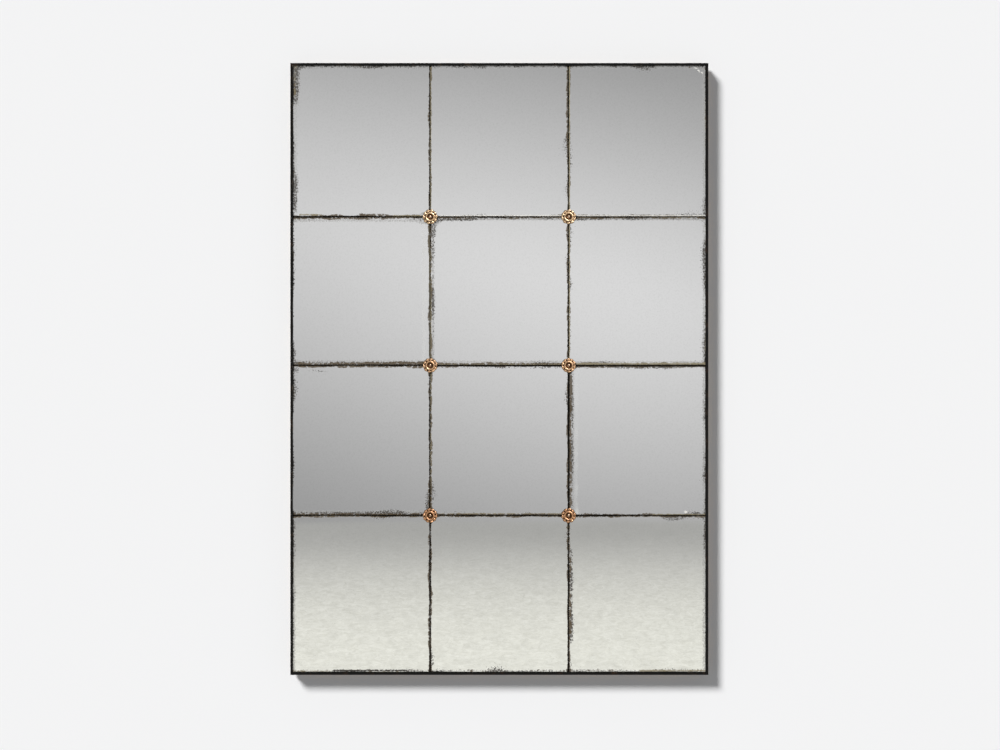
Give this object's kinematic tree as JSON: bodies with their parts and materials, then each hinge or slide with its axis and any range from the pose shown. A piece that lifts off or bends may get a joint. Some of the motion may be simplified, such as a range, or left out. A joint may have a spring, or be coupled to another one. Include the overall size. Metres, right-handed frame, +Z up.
{
  "type": "wall mirror",
  "caption": "Tall rectangular wall mirror of antiqued panes joined edge to edge, with flower rosettes at the crossings, a slim forged iron frame and two D-ring hangers.",
  "frame": {"origin": "centre of the wall plane that the bumpers' faces touch", "axes": "+X to the viewer's right, +Y towards the wall, +Z up"},
  "size_m": [1.041, 0.0441, 1.524],
  "materials": {
    "forged_iron": "hammered, blackened and waxed",
    "antiqued_mirror": "silvered, foxed at the edges",
    "aged_brass": "cast, toned brown",
    "felt": "pressed felt",
    "mastic": "cured mastic",
    "black_board": "fibreboard, painted black",
    "pine": "planed pine",
    "zinc_steel": "zinc plated",
    "bumper_rubber": "moulded"
  },
  "bodies": {
    "root": {"frame_rail_bottom": "forged_iron", "frame_rail_top": "forged_iron", "frame_stile_left": "forged_iron", "frame_stile_right": "forged_iron", "pane_row1_left": "antiqued_mirror", "pane_row1_middle": "antiqued_mirror", "pane_row1_right": "antiqued_mirror", "pane_row2_left": "antiqued_mirror", "pane_row2_middle": "antiqued_mirror", "pane_row2_right": "antiqued_mirror", "pane_row3_left": "antiqued_mirror", "pane_row3_middle": "antiqued_mirror", "pane_row3_right": "antiqued_mirror", "pane_row4_left": "antiqued_mirror", "pane_row4_middle": "antiqued_mirror", "pane_row4_right": "antiqued_mirror", "mastic_pads": "mastic", "backing_board": "black_board", "batten_stile_left": "pine", "batten_stile_right": "pine", "batten_rail_top": "pine", "batten_cross_upper": "pine", "batten_cross_lower": "pine", "batten_rail_bottom": "pine", "batten_screws": "zinc_steel", "retaining_tabs": "zinc_steel", "tab_screws": "zinc_steel", "wall_bumpers": "bumper_rubber", "bumper_screws": "zinc_steel", "rosette_upper_left": "aged_brass", "rosette_upper_right": "aged_brass", "rosette_middle_left": "aged_brass", "rosette_middle_right": "aged_brass", "rosette_lower_left": "aged_brass", "rosette_lower_right": "aged_brass", "rosette_gaskets": "felt", "rosette_screws": "aged_brass", "rosette_washers": "zinc_steel", "rosette_nuts": "zinc_steel", "hanger_strap_left": "zinc_steel", "hanger_strap_right": "zinc_steel", "hanger_screws": "zinc_steel"},
    "ring_left": {"hanger_ring_left": "zinc_steel"},
    "ring_right": {"hanger_ring_right": "zinc_steel"}
  },
  "joints": [
    {"name": "ring_left_swing", "type": "hinge", "parent": "root", "child": "ring_left", "pos_m": [-0.4935, -0.0042, 0.5425], "axis": [1, 0, 0], "range_deg": [0, 180]},
    {"name": "ring_right_swing", "type": "hinge", "parent": "root", "child": "ring_right", "pos_m": [0.4935, -0.0042, 0.5425], "axis": [1, 0, 0], "range_deg": [0, 180]}
  ]
}
